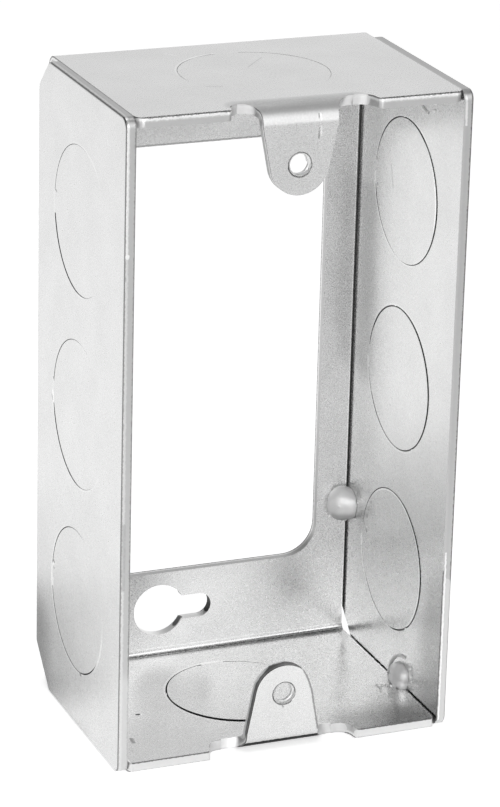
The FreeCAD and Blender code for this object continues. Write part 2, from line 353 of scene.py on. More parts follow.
def dressed_copy(node, sheet_at, finish, edge_finish, knockouts):
    """A copy of a CAD node with its triangles joined and its cut faces told from its sheet faces.

    sheet_at gives, for a point, the way out of the sheet and the depth below its outer face.
    Each knockout's slug is eased in, to leave the slit as wide or as tight as its rim says, and
    bent about its tie at the back until its front stands in the box by the knockout's lift in mm.
    """
    bpy.ops.object.select_all(action="DESELECT")
    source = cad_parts[node]
    piece = source.copy()
    piece.data = source.data.copy()
    piece.name = node + "_dressed"
    bpy.context.scene.collection.objects.link(piece)
    piece.select_set(True)
    bpy.context.view_layer.objects.active = piece
    bpy.ops.mesh.customdata_custom_splitnormals_clear()
    bpy.ops.object.mode_set(mode="EDIT")
    bpy.ops.mesh.select_all(action="SELECT")
    bpy.ops.mesh.remove_doubles(threshold=merge_distance)
    bpy.ops.object.mode_set(mode="OBJECT")
    mesh = piece.data
    across = mesh.attributes.new("across", "FLOAT", "POINT")
    across.data.foreach_set("value", [sheet_at(vertex.co)[1] / sheet for vertex in mesh.vertices])
    slit_walls = set()
    for middle, axis, rim, lift in knockouts:
        a, b, c = (0, 1, 2) if axis == "Z" else (1, 2, 0)
        centre = Vector(middle) * MM
        for vertex in mesh.vertices:
            off = vertex.co - centre
            radius = math.hypot(off[a], off[b])
            if abs(off[c]) > near_sheet or not slug_edge[0] < radius < knockout_radius + slit_weld:
                continue
            slit_walls.add(vertex.index)
            if radius < slug_edge[1]:
                angle = math.degrees(math.atan2(off[b], off[a])) % 360
                gap = slit_gap(rim, angle) * (1 + wider_along_y * along_y(off))
                eased = (knockout_radius - gap) / radius
                off[a] *= eased
                off[b] *= eased
                off[c] += lift * MM * (knockout_radius - off.y) / (2 * knockout_radius)
                vertex.co = centre + off
    bpy.ops.object.shade_smooth_by_angle(angle=sheet_smooth_angle)
    mesh.materials.clear()
    for material in (finish, edge_finish, slit_finish):
        mesh.materials.append(material)
    for face in mesh.polygons:
        outward, _ = sheet_at(face.center)
        is_cut = abs(face.normal.dot(outward)) < 0.5
        in_slit = slit_walls.issuperset(face.vertices)
        face.material_index = (2 if in_slit else 1) if is_cut else 0
    even = piece.modifiers.new("even_normals", "WEIGHTED_NORMAL")
    even.keep_sharp = True
    even.weight = 100
    bpy.ops.object.modifier_apply(modifier=even.name)
    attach(piece, "root")
    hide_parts(node)


def both_sides(strokes):
    """The strokes, and the same ones mirrored to the other side of the box."""
    mirrored = [((-a[0], a[1], a[2]), (-b[0], b[1], b[2]), *rest) for a, b, *rest in strokes]
    return strokes + mirrored


def channel_at(point):
    """The way out of the folded channel at a point, and the depth below its outer face."""
    upper = point.z > top / 2
    z = point.z if upper else top - point.z
    up = 1 if upper else -1
    on_ear = abs(point.x) < ear_root and point.y < front + 5 * MM
    if on_ear and z < top - ear_bend_radius:
        return Vector((0, -1, 0)), point.y - ear_front
    if on_ear and point.y < ear_front + ear_bend_radius:
        off = Vector((0, point.y - ear_front - ear_bend_radius, z - top + ear_bend_radius))
        out = off.normalized()
        return Vector((0, out.y, out.z * up)), ear_bend_radius - off.length
    if point.y > back - fold_radius and z > top - fold_radius:
        off = Vector((0, point.y - back + fold_radius, z - top + fold_radius))
        out = off.normalized()
        return Vector((0, out.y, out.z * up)), fold_radius - off.length
    if point.y > back - 1.5 * sheet:
        return Vector((0, 1, 0)), back - point.y
    return Vector((0, 0, up)), top - z


# Round each slit: angle, gap in mm, and how bright the lips of the sheet and of the slug are painted, partly
# as wear and partly as painted highlight.
slit_weld = 0.01 * MM
top_rim = [
    (20, 0.03, 0, 0), (45, 0.05, 0, 0), (60, 0.05, 0.3, 0), (95, 0.06, 0, 0), (118, 0.03, 0.9, 0),
    (135, 0.04, 0.5, 0), (170, 0.05, 0.4, 0), (180, 0.10, 0, 0), (192, 0.05, 0, 0), (230, 0.03, 0, 0),
]
bottom_rim = [
    (30, 0.05, 0, 0), (80, 0.08, 0.3, 0), (100, 0.16, 0.8, 0), (104, 0.06, 0.4, 0.3), (140, 0.10, 0.5, 0),
    (165, 0.20, 0.4, 0.3), (200, 0.22, 0.3, 0), (270, 0.20, 0.3, 0), (300, 0.12, 0, 0), (340, 0.05, 0, 0),
]
channel_knockouts = [((0, 0, 101.6), "Z", top_rim, -0.05), ((0, 0, 0), "Z", bottom_rim, 0.16)]
# Painted shade: near-black dashes along both bottom seams, where little light gets into the gap.
seam_dashes = [
    (16.6, 12.8), (12.2, 9.4), (8.9, 5.1), (4.2, 2.6), (1.6, 1.1), (-5.9, -6.3), (-7.1, -7.5), (-8.6, -9.8),
    (-10.2, -13.3), (-13.9, -17.2), (-17.6, -19.0),
]
seam_shade_strokes = both_sides([((25.3, a, 1.6), (25.3, b, 1.6), 0.13, 0.06, 1.0) for a, b in seam_dashes])
# Real pips and a scratch, painted highlights on the burred flange edges, along the bottom plate by the seams
# and along the back fold, and a soft white patch before the corner welds.
channel_scuffs_and_highlights = both_sides(
    [
        ((25.0, 17.46, 3.0), (24.85, 17.46, 98.0), 0.05, 0.08, 0.9),
        ((24.9, -8.8, 1.6), (24.9, -19.0, 1.6), 0.08, 0.1, 0.9),
        ((24.95, 16.0, 1.6), (24.95, -5.0, 1.6), 0.03, 0.1, 0.6),
    ]
) + [
    ((-2.1, 11.3, 101.6), (-2.1, 11.3, 101.6), 0.15, 0.2, 1.0),
    ((-17.4, -3.2, 1.6), (-17.4, -3.2, 1.6), 0.12, 0.15, 1.0),
    ((-9.0, 13.5, 101.6), (-7.8, 12.0, 101.6), 0.05, 0.15, 0.6),
    ((3.1, -18.2, 100.2), (3.15, -18.45, 96.6), 0.08, 0.08, 1.0),
    ((24.0, -8.6, 1.6), (22.9, -12.2, 1.6), 0.7, 1.8, 0.5),
    ((-25.3, 17.4, 2.6), (25.0, 17.4, 2.6), 0.05, 0.1, 0.7),
]
# Real smudges and a scratch's dark side, a thin dark line across the flange, and painted shade on the upper
# ear's bend, low on the bottom plate's right, on the flange under the top plate and down the lower ear's
# right edge.
channel_dull_and_shade = [
    ((2.75, -18.2, 100.2), (2.8, -18.45, 96.2), 0.05, 0.1, 0.9),
    ((-8, -17.4, 100.8), (9, -17.4, 100.8), 0.4, 1.2, 0.4),
    ((2, -17.4, 100.8), (9, -17.4, 100.8), 0.4, 1.1, 0.3),
    ((14, -17, 1.6), (19, -17, 1.6), 1.5, 5.5, 0.5),
    ((-9.9, -5.6, 101.6), (-7.5, -6.3, 101.6), 0.05, 0.12, 0.5),
    ((0.1, 2.7, 101.6), (4.2, 7.4, 101.6), 0.05, 0.12, 0.35),
    ((-18, 17.46, 86.3), (19, 17.46, 86.3), 0.08, 0.1, 0.7),
    ((-19, 17.46, 93.0), (-5, 17.46, 93.0), 4.0, 6.0, 0.22),
    ((-21.9, -11.1, 1.6), (-22.0, -12.4, 1.6), 0.2, 0.2, 0.8),
    ((2.9, -18.45, 13.0), (3.9, -18.45, 11.0), 0.08, 0.14, 0.9),
    ((3.9, -18.45, 11.0), (4.55, -18.45, 9.0), 0.08, 0.14, 0.9),
    ((4.55, -18.45, 9.0), (5.75, -18.45, 2.4), 0.08, 0.14, 0.9),
    ((-0.25, -18.45, 7.5), (-0.1, -18.45, 6.9), 0.08, 0.1, 0.6),
]
# A real speck beside a pip, and painted shade in the seams, in the back fold's crease, under the lower ear's
# bend and at the upper ear hole's lower left rim.
channel_grime_and_shade = seam_shade_strokes + [
    ((-25.3, 16.95, 1.75), (25.0, 16.95, 1.75), 0.07, 0.11, 0.75),
    ((-5.7, -16.95, 0.5), (6.2, -16.95, 0.5), 1.25, 0.15, 1.0),
    ((-18.1, -3.2, 1.6), (-17.8, -3.2, 1.6), 0.16, 0.15, 1.0),
    ((-1.72, -18.45, 92.9), (-1.76, -18.45, 92.0), 0.06, 0.12, 0.8),
    ((-1.76, -18.45, 92.0), (-1.1, -18.45, 91.05), 0.06, 0.12, 0.8),
]
# Painted light: the ear holes' walls are laid white.
hole_painted_light = [((0, -19, z), (0, -16, z), 2.1, 0.1, 0.9) for z in (9.13, 92.47)]
channel_finish = galvanised(
    "galvanised_channel", channel_knockouts,
    [(scuff_and_highlight_white, channel_scuffs_and_highlights), (dull_and_shade_grey, channel_dull_and_shade), (grime_and_shade_black, channel_grime_and_shade)],
    [
        ((-9, -16.9, 100.6), (9, -16.9, 100.6), 1.9, 0.8, 1.0),
        ((-9, -16.9, 0.6), (9, -16.9, 0.6), 1.3, 0.5, 1.0),
    ],
)
channel_edge = sheared(
    "sheared_channel_edge",
    # Painted shade on the dark rim band; the band tones are set to how brightly this edge is lit.
    [
        (0.0, "#8A8A8A"), (0.10, "#8A8A8A"), (0.18, "#F6F6F6"), (0.30, "#F6F6F6"), (0.42, "#D2D2D2"),
        (0.55, "#C6C6C6"),
    ],
    [
        # Painted light on the bottom plate's front edge and on the notch walls.
        (
            painted_edge_light,
            [
                ((-25, -19.05, 0.7), (25, -19.05, 0.7), 0.6, 0.1, 1.0),
                ((-11, -15.95, 0.8), (11, -15.95, 0.8), 0.9, 0.1, 0.9),
                ((-11, -15.95, 100.8), (11, -15.95, 100.8), 0.9, 0.1, 0.9),
            ],
        ),
        # Painted shade on the lower ear's cut edges and hole wall.
        ("#2A2A2A", [((0, -17.7, 7.0), (0, -17.7, 9.3), 7.0, 0.8, 0.7)]),
        (
            # Painted highlights on the ear holes' walls, the lower ear's edges, a notch wall and the
            # keyhole's walls.
            scuff_and_highlight_white,
            hole_painted_light + [
                ((-6.2, -16.86, 2.5), (-5.5, -16.86, 7.2), 0.6, 0.2, 0.9),
                ((-5.5, -16.86, 7.2), (-4.6, -16.86, 11.2), 0.6, 0.2, 0.9),
                ((-4.6, -16.86, 11.2), (-2.4, -16.86, 14.0), 0.6, 0.2, 0.9),
                ((-2.4, -16.86, 14.0), (1.0, -16.86, 14.6), 0.6, 0.2, 0.9),
                ((1.0, -16.86, 14.6), (3.6, -16.86, 13.4), 0.5, 0.2, 0.8),
                ((-11.5, -15.9, 100.0), (-8.6, -15.9, 100.0), 0.12, 0.08, 1.0),
                ((-6.8, 18.3, 9.13), (-6.8, 18.3, 9.13), 4.9, 0.1, 1.0),
                ((-4, 18.3, 7.0), (0, 18.3, 7.0), 1.0, 0.2, 0.8),
            ],
        ),
        # Painted shade in the seams, along and at the foot of the bottom plate's front edge, in the keyhole
        # and down the flange's cut ends.
        (
            grime_and_shade_black,
            seam_shade_strokes + [
                ((-25.2, -19.05, 1.55), (25.2, -19.05, 1.55), 0.1, 0.1, 0.75),
                ((-25.3, -19.05, 0.1), (-25.3, -19.05, 1.4), 0.15, 0.1, 1.0),
                ((25.2, -19.05, 0.1), (25.2, -19.05, 1.4), 0.15, 0.1, 1.0),
                ((1.9, 18.3, 10.0), (1.9, 18.3, 8.4), 0.9, 0.3, 0.95),
                ((-3.2, 18.3, 7.0), (-3.7, 18.3, 6.2), 0.5, 0.3, 0.85),
                ((-3.2, 18.3, 11.3), (-3.2, 18.3, 11.3), 0.4, 0.2, 0.85),
                ((25.3, 18.3, 3.0), (25.0, 18.3, 98.0), 0.7, 0.2, 0.9),
                ((-25.3, 18.3, 3.0), (-25.0, 18.3, 98.0), 0.7, 0.2, 0.9),
            ],
        ),
    ],
)

# Walls of the slits round the knockouts: coloured dark, as little light gets into so narrow a cut.
slit_finish = sheared("sheared_knockout_slit", [(0.0, "#5A5A5A"), (0.2, "#303030")], [])
dressed_copy("folded_channel", channel_at, channel_finish, channel_edge, channel_knockouts)


# Left side plate. A flat blank punched from outside, so its outer rim is drawn over and rolled,
# with three knockouts still tied in at the back. Its front edge is painted white near the top.
plate_low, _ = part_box("left_side_plate")


def left_plate_at(point):
    """The way out of the left side plate, and the depth below its outer face."""
    return Vector((-1, 0, 0)), point.x - plate_low.x


low_rim = [
    (12, 0.08, 0.6, 0), (80, 0.09, 0, 0), (98, 0.13, 0, 0), (108, 0.05, 0, 0), (180, 0.04, 0.2, 0),
    (195, 0.03, 0.8, 0), (215, 0.04, 0.7, 0), (230, 0.13, 0, 0), (250, 0.14, 0, 0), (262, 0.05, 0.5, 0),
    (285, 0.09, 0.8, 0), (335, 0.09, 0.9, 0), (348, 0.08, 1.0, 0),
]
middle_rim = [
    (12, 0.09, 0.2, 0), (60, 0.07, 0, 0), (110, 0.08, 0, 0), (125, 0.03, 0, 0), (150, 0.06, 0, 0),
    (185, 0.05, 0, 0), (200, 0.025, 0, 0), (262, 0.03, 0.3, 0), (272, 0.12, 0, 0), (290, 0.18, 0.2, 0),
    (340, 0.18, 0.4, 0), (350, 0.12, 0.8, 0),
]
upper_rim = [
    (12, 0.06, 0.2, 0), (60, 0.05, 0, 0), (100, 0.07, 0.3, 0), (120, 0.04, 0.3, 0), (140, 0.09, 0, 0),
    (175, 0.07, 0, 0), (195, 0.03, 0, 0), (258, 0.025, 0, 0), (268, 0.12, 0.3, 0), (290, 0.18, 0, 0),
    (345, 0.20, 0.2, 0),
]
left_knockouts = [
    ((-26.2, 0, z), "X", rim, 0.08) for z, rim in ((20.6, low_rim), (50.8, middle_rim), (81.0, upper_rim))
]
left_scuffs = [
    ((-27.0, 10.9, 20.0), (-27.0, 11.0, 18.6), 0.12, 0.15, 1.0),
    ((-27.0, 10.7, 22.6), (-27.0, 10.7, 22.6), 0.2, 0.2, 0.9),
]
# Grey marks at the knockouts' slits and tie, and a painted shade low at the back of the outer face.
left_dull_and_shade = [
    ((-27.0, 10.9, 23.1), (-27.0, 10.4, 22.9), 0.1, 0.15, 0.9),
    ((-27.0, 10.6, 21.9), (-27.0, 10.4, 21.9), 0.1, 0.15, 0.8),
    ((-27.0, -2.0, 9.2), (-27.0, -2.4, 9.2), 0.15, 0.15, 0.9),
    ((-27.0, 11.3, 52.9), (-27.0, 11.0, 52.6), 0.1, 0.12, 0.8),
    ((-27.0, 12.0, 49.9), (-27.0, 11.6, 49.2), 0.06, 0.12, 0.9),
    ((-27.0, 11.2, 82.8), (-27.0, 10.4, 82.6), 0.08, 0.12, 0.8),
    ((-27.0, 18.0, 4.0), (-27.0, 18.0, 9.0), 1.0, 8.0, 0.6),
]
# Painted shade in the back seam gap and along the bottom seam.
left_seam_shade = [((-25.4, 18.1, 2.0), (-25.4, 18.1, 98.0), 0.6, 0.1, 1.0)] + seam_shade_strokes
left_finish = galvanised(
    "galvanised_left_plate", left_knockouts, [(scuff_and_highlight_white, left_scuffs), (dull_and_shade_grey, left_dull_and_shade), (grime_and_shade_black, left_seam_shade)]
)
left_edge = sheared(
    "sheared_left_edge",
    # Painted shade on the dark rim bands; the band tones are set to how brightly this edge is lit.
    [
        (0.0, "#B0B0B0"), (0.12, "#B0B0B0"), (0.20, "#E0E0E0"), (0.32, "#DEDEDE"), (0.44, "#C6C6C6"),
        (0.84, "#C6C6C6"), (0.95, "#929292"),
    ],
    [
        (scuff_and_highlight_white, [((-26.6, -19.05, 100.6), (-26.6, -19.05, 81.6), 0.12, 0.1, 0.6)]),
        # Painted light: the front edge lighter towards its foot.
        (painted_edge_light, [((-26.1, -19.05, 0.0), (-26.1, -19.05, 14.0), 0.5, 3.0, 0.5)]),
        (scuff_and_highlight_white, [((-26.5, -19.05, 81.3), (-26.5, -19.05, 81.2), 0.25, 0.15, 1.0)]),
        (dull_and_shade_grey, [((-26.5, -19.05, 40.0), (-26.5, -19.05, 30.0), 0.05, 0.4, 0.4)]),
        # Painted shade along the foot of the front edge.
        (grime_and_shade_black, [((-27.0, -19.05, 0.08), (-25.4, -19.05, 0.08), 0.1, 0.1, 0.8)]),
    ],
)
dressed_copy("left_side_plate", left_plate_at, left_finish, left_edge, left_knockouts)


# Right side plate. The same blank of galvanised steel on the right, tacked to the channel by its
# welds, with the marks of welding on its inner face.
right_low, right_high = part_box("right_side_plate")


def right_plate_at(point):
    """The way out of the right side plate, and the depth below its outer face."""
    return Vector((1, 0, 0)), right_high.x - point.x


low_right_rim = [
    (10, 0.04, 0.3, 0), (42, 0.07, 0, 0), (60, 0.10, 0, 0.9), (95, 0.10, 0, 1.0), (112, 0.05, 0, 1.0),
    (125, 0.09, 0, 1.0), (140, 0.05, 0, 1.0), (200, 0.06, 0.2, 1.0), (225, 0.05, 0.2, 0.8), (238, 0.16, 0, 0),
    (262, 0.20, 0, 0), (272, 0.03, 0.9, 0), (282, 0.18, 0.3, 0), (315, 0.12, 0.3, 0), (330, 0.04, 0.5, 0),
    (350, 0.03, 0.9, 0),
]
middle_right_rim = [
    (12, 0.06, 0, 0), (35, 0.15, 0.3, 0), (90, 0.16, 0.4, 0), (140, 0.14, 0.3, 0), (180, 0.09, 0, 0),
    (225, 0.07, 0, 0), (240, 0.13, 0.2, 0), (270, 0.18, 0.4, 0), (290, 0.16, 0.3, 0), (320, 0.13, 0.2, 0),
    (338, 0.06, 0.6, 0), (352, 0.04, 1.0, 0),
]
upper_right_rim = [
    (12, 0.03, 0.2, 0), (32, 0.10, 0, 0), (60, 0.15, 0.2, 0), (120, 0.14, 0.3, 0), (132, 0.05, 0.2, 0),
    (152, 0.04, 0.3, 0.6), (165, 0.04, 0.4, 1.0), (190, 0.04, 0.3, 1.0), (200, 0.05, 0, 0),
    (240, 0.08, 0, 0.3),
    (268, 0.11, 0.4, 0), (276, 0.05, 0, 0), (300, 0.10, 0.4, 0), (335, 0.09, 0.8, 0), (350, 0.08, 0.9, 0),
]
right_knockouts = [
    ((26.2, 0, z), "X", rim, -0.12)
    for z, rim in ((20.6, low_right_rim), (50.8, middle_right_rim), (81.0, upper_right_rim))
]
right_scuffs = [
    ((25.4, 11.3, 79.9), (25.4, 11.3, 79.9), 0.08, 0.15, 0.9),
    ((25.4, 13.9, 24.9), (25.4, 13.9, 23.2), 0.12, 0.15, 0.8),
    ((25.4, 9.6, 22.4), (25.4, 9.6, 22.4), 0.1, 0.12, 0.9),
]
# Grey marks by the knockouts and the back weld, and painted shade down the back of the inner face and low at
# its front.
right_dull_and_shade = [
    ((25.4, 13.4, 26.6), (25.4, 12.9, 25.2), 0.3, 1.2, 0.35),
    ((25.4, 12.2, 24.2), (25.4, 11.8, 22.4), 0.5, 2.0, 0.22),
    ((25.4, 9.8, 21.9), (25.4, 9.6, 21.6), 0.12, 0.15, 0.8),
    ((25.4, 9.0, 25.6), (25.4, 9.0, 25.6), 0.1, 0.15, 0.6),
    ((25.4, 9.6, 24.5), (25.4, 9.6, 24.1), 0.12, 0.15, 0.7),
    ((25.4, 8.2, 27.2), (25.4, 8.3, 26.9), 0.12, 0.2, 0.6),
    ((25.4, 11.4, 23.2), (25.4, 10.4, 22.6), 0.04, 0.1, 0.6),
    ((25.4, 11.1, 83.4), (25.4, 10.6, 82.9), 0.1, 0.15, 0.6),
    ((25.4, 10.5, 79.3), (25.4, 10.3, 79.0), 0.1, 0.12, 0.8),
    ((25.4, 5.6, 83.6), (25.4, 4.6, 80.2), 0.08, 0.25, 0.35),
    ((25.4, 13.5, 98.0), (25.4, 13.5, 76.0), 1.0, 5.0, 0.22),
    ((25.4, 13.5, 76.0), (25.4, 13.5, 50.0), 1.0, 5.0, 0.46),
    ((25.4, -18.0, 2.0), (25.4, -19.0, 18.0), 3.0, 7.0, 0.5),
]
# Painted shade in the back seam gap and along the bottom seam.
right_seam_shade = [((25.4, 18.1, 2.0), (25.4, 18.1, 98.0), 0.6, 0.1, 1.0)] + seam_shade_strokes
right_finish = galvanised(
    "galvanised_right_plate", right_knockouts,
    [(scuff_and_highlight_white, right_scuffs), (dull_and_shade_grey, right_dull_and_shade), (grime_and_shade_black, right_seam_shade)],
)
right_edge = sheared(
    "sheared_right_edge",
    # Painted shade: this edge's tones are laid darker than the others, as it lies in shade, with dark rim
    # bands.
    [(0.0, "#6C6C6C"), (0.16, "#727272"), (0.28, "#C4C4C4"), (0.62, "#C0C0C0"), (0.98, "#C8C8C8")],
    [
        # Painted light: the front edge lighter towards its foot.
        ("#D8D8D8", [((26.1, -19.05, 0.0), (26.1, -19.05, 24.0), 0.6, 0.2, 0.9)]),
        (
            # Painted highlights near the top corner and low down the front edge.
            scuff_and_highlight_white,
            [
                ((25.75, -19.05, 101.0), (25.85, -19.05, 96.5), 0.08, 0.2, 0.7),
                ((25.8, -19.05, 1.0), (25.8, -19.05, 29.0), 0.07, 0.1, 0.9),
            ],
        ),
        (
            # Near black along the inner rim low down, and painted shade along the foot.
            grime_and_shade_black,
            [
                ((25.45, -19.05, 0.0), (25.42, -19.05, 26.0), 0.08, 0.14, 0.75),
                ((25.4, -19.05, 0.1), (27.0, -19.05, 0.1), 0.12, 0.12, 0.9),
            ],
        ),
    ],
)
dressed_copy("right_side_plate", right_plate_at, right_finish, right_edge, right_knockouts)


# Weld nuggets. Small beads of weld metal in the inner seams, cooled smooth and satin, each
# with the lip, nipple and beads that it threw off.
weld_colour = "#F8F8F8"
# Painted shade: the lower side of the back weld is laid grey.
weld_painted_shade = both_sides([((22.2, 15.6, 21.7), (24.6, 14.4, 21.9), 0.5, 1.1, 0.45)])
weld_metallic = 0.5
weld_roughness = 0.52
weld_bump_share = 0.5
ripple = 0.5 * MM
ripple_height = 0.08 * MM
weld_smooth_angle = math.radians(60)

# Weld metal as cooled: satin rather than bright, because zinc oxide has bloomed over it.
weld_metal = new_material("weld_metal")
weld_tree = weld_metal.node_tree
weld_place = add_node(weld_tree, "ShaderNodeTexCoord").outputs["Object"]
weld_ripple = add_node(
    weld_tree, "ShaderNodeTexNoise", {"Scale": 1 / ripple, "Detail": 2.0}, {"Vector": weld_place}
)
weld_bump = add_node(
    weld_tree, "ShaderNodeBump", {"Strength": weld_bump_share, "Distance": ripple_height},
    {"Height": weld_ripple.outputs["Fac"]},
)
weld_tone = add_node(
    weld_tree, "ShaderNodeMix", {"data_type": "RGBA", 6: linear(weld_colour), 7: linear(dull_and_shade_grey)},
    {0: mark_mask(weld_tree, weld_place, weld_painted_shade)},
)
weld_shader = add_node(
    weld_tree, "ShaderNodeBsdfPrincipled",
    {"Metallic": weld_metallic, "Roughness": weld_roughness},
    {"Base Color": weld_tone.outputs[2], "Normal": weld_bump.outputs["Normal"]},
)
add_node(weld_tree, "ShaderNodeOutputMaterial", {}, {"Surface": weld_shader.outputs["BSDF"]})

# A drop's surface lies at this share of the radius that it is given.
drop_share = 0.78
drop_stiffness = 10.0
drop_grid = 0.1
inner_x = right_low.x
inner_back = back - sheet
floor_z = sheet


def weld_drops(name, drops):
    """Drops of weld metal, each a centre and radius in mm, run together and cut off at the sheets."""
    bpy.ops.object.select_all(action="DESELECT")
    bpy.ops.object.metaball_add(type="BALL", location=(0, 0, 0))
    melt = bpy.context.object
    melt.data.resolution = drop_grid
    melt.data.elements.remove(melt.data.elements[0])
    for centre, radius in drops:
        drop = melt.data.elements.new()
        drop.co = centre
        drop.radius = radius / drop_share
        drop.stiffness = drop_stiffness
    bpy.ops.object.convert(target="MESH")
    piece = bpy.context.object
    piece.name = name
    piece.scale = (MM, MM, MM)
    bpy.ops.object.transform_apply(location=True, rotation=True, scale=True)
    walls = [
        ((inner_x, 0, 0), (1, 0, 0)),
        ((0, inner_back, 0), (0, 1, 0)),
        ((0, 0, floor_z), (0, 0, -1)),
    ]
    bpy.ops.object.mode_set(mode="EDIT")
    for wall, outward in walls:
        bpy.ops.mesh.select_all(action="SELECT")
        bpy.ops.mesh.bisect(plane_co=wall, plane_no=outward, use_fill=True, clear_outer=True)
    bpy.ops.mesh.select_all(action="SELECT")
    bpy.ops.mesh.normals_make_consistent(inside=False)
    bpy.ops.object.mode_set(mode="OBJECT")
    bpy.ops.object.shade_smooth_by_angle(angle=weld_smooth_angle)
    piece.data.materials.clear()
    piece.data.materials.append(weld_metal)
    return piece


back_weld = weld_drops(
    "back_weld",
    [
        ((24.1, 16.7, 24.5), 2.3),
        ((24.0, 16.8, 23.3), 2.2),
        ((25.1, 15.7, 24.4), 1.9),
        ((25.1, 15.8, 23.4), 1.8),
        ((22.9, 15.0, 24.2), 0.3),
        ((24.9, 17.2, 20.9), 0.35),
        ((24.6, 17.3, 20.4), 0.25),
        ((22.2, 17.4, 21.6), 0.35),
    ],
)
# The raised lip round the corner weld: a row of small drops along part of a circle, in mm.
lip_middle = (-7.0, 0.4)
lip_radius = 6.1
lip_count = 22
lip_start = 12
lip_turn = 3.6
lip_drop = 0.26
lip_x = 25.35
lip_drops = []
for step in range(lip_count):
    turn = math.radians(lip_start + lip_turn * step)
    side, rise = lip_radius * math.cos(turn), lip_radius * math.sin(turn)
    lip_drops.append(((lip_x, lip_middle[0] + side, lip_middle[1] + rise), lip_drop))
corner_weld = weld_drops(
    "corner_weld",
    [
        ((25.2, -4.9, 3.6), 1.35),
        ((25.2, -6.1, 3.7), 1.5),
        ((25.2, -7.2, 3.6), 1.3),
        ((25.0, -4.9, 2.4), 1.3),
        ((25.0, -6.1, 2.4), 1.4),
        ((25.0, -7.1, 2.4), 1.2),
        ((25.3, -9.1, 5.6), 0.32),
        ((25.3, -9.5, 4.3), 0.34),
        ((25.3, -9.7, 3.6), 0.22),
        ((21.3, -7.3, 1.6), 0.2),
        ((21.5, -6.7, 1.6), 0.2),
        ((21.6, -6.2, 1.6), 0.2),
        ((21.55, -5.6, 1.6), 0.2),
        ((21.5, -5.1, 1.6), 0.22),
        ((22.3, -5.5, 1.6), 0.25),
        ((22.9, -5.7, 1.6), 0.3),
        ((23.5, -6.1, 1.6), 0.25),
        ((24.0, -6.4, 1.6), 0.32),
        ((22.3, -8.1, 1.6), 0.2),
    ] + lip_drops,
)


def joined_copy(name, parts, turn, node):
    """One piece from copies of several, each turned by a matrix, that replaces a CAD node."""
    bpy.ops.object.select_all(action="DESELECT")
    copies = []
    for part, extra in parts:
        copy = part.copy()
        copy.data = part.data.copy()
        copy.data.transform(turn @ extra)
        bpy.context.scene.collection.objects.link(copy)
        copy.select_set(True)
        copies.append(copy)
    bpy.context.view_layer.objects.active = copies[0]
    bpy.ops.object.join()
    piece = bpy.context.object
    piece.name = name
    bpy.ops.object.mode_set(mode="EDIT")
    bpy.ops.mesh.select_all(action="SELECT")
    bpy.ops.mesh.normals_make_consistent(inside=False)
    bpy.ops.object.mode_set(mode="OBJECT")
    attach(piece, "root")
    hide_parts(node)


as_made = Matrix.Identity(4)
turned_up = Matrix.Translation((0, 0, top)) @ Matrix.Scale(-1, 4, (0, 0, 1))
other_side = Matrix.Scale(-1, 4, (1, 0, 0))
weld_set = [(back_weld, as_made), (corner_weld, as_made), (corner_weld, turned_up)]
joined_copy("right_seam_welds_dressed", weld_set, as_made, "right_seam_welds")
joined_copy("left_seam_welds_dressed", weld_set, other_side, "left_seam_welds")
for pattern in (back_weld, corner_weld):
    bpy.data.objects.remove(pattern)


# Ear threads. Each ear hole is tapped for a 6-32 screw, so a fine helical ridge of the same steel
# runs round it, left where the tap cut.
thread_pitch = 0.794 * MM
thread_outer = 1.76 * MM
thread_inner = 1.5 * MM
thread_crest = 0.2 * thread_pitch
thread_foot = 0.46 * thread_pitch
thread_colour = "#F8F8F8"
thread_roughness = 0.5

# Freshly cut steel: bright, but rough from the tap, so that it glints without a mirror.
cut_thread = new_material("cut_thread")
thread_shader = add_node(
    cut_thread.node_tree, "ShaderNodeBsdfPrincipled",
    {"Metallic": 1.0, "Roughness": thread_roughness, "Base Color": linear(thread_colour)},
)
add_node(cut_thread.node_tree, "ShaderNodeOutputMaterial", {}, {"Surface": thread_shader.outputs["BSDF"]})
screw_height = 9.13 * MM
thread_turns = 2
thread_steps = 48


def ear_thread(name, height):
    """The ridge of a tapped hole, a small triangle run round the screw's axis."""
    bpy.ops.object.select_all(action="DESELECT")
    profile = bmesh.new()
    corners = [
        (thread_outer, -thread_foot), (thread_inner, -thread_crest),
        (thread_inner, thread_crest), (thread_outer, thread_foot),
    ]
    rim = [profile.verts.new((x, y, 0)) for x, y in corners]
    profile.faces.new(rim)
    mesh = bpy.data.meshes.new(name)
    profile.to_mesh(mesh)
    profile.free()
    piece = bpy.data.objects.new(name, mesh)
    bpy.context.scene.collection.objects.link(piece)
    piece.select_set(True)
    bpy.context.view_layer.objects.active = piece
    wind = piece.modifiers.new("wind", "SCREW")
    wind.axis = "Y"
    wind.angle = math.tau * thread_turns
    wind.screw_offset = thread_pitch * thread_turns
    wind.steps = thread_steps * thread_turns
    wind.render_steps = wind.steps
    bpy.ops.object.modifier_apply(modifier=wind.name)
    piece.data.transform(Matrix.Translation((0, ear_front, height)))
    bpy.ops.object.mode_set(mode="EDIT")
    bpy.ops.mesh.select_all(action="SELECT")
    for wall, outward in ((ear_front, -1), (ear_front + sheet, 1)):
        bpy.ops.mesh.select_all(action="SELECT")
        bpy.ops.mesh.bisect(
            plane_co=(0, wall, 0), plane_no=(0, outward, 0), use_fill=True, clear_outer=True
        )
    bpy.ops.mesh.select_all(action="SELECT")
    bpy.ops.mesh.remove_doubles(threshold=merge_distance)
    bpy.ops.mesh.normals_make_consistent(inside=False)
    bpy.ops.object.mode_set(mode="OBJECT")
    piece.data.materials.append(cut_thread)
    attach(piece, "root")


ear_thread("upper_ear_thread", top - screw_height)
ear_thread("lower_ear_thread", screw_height)


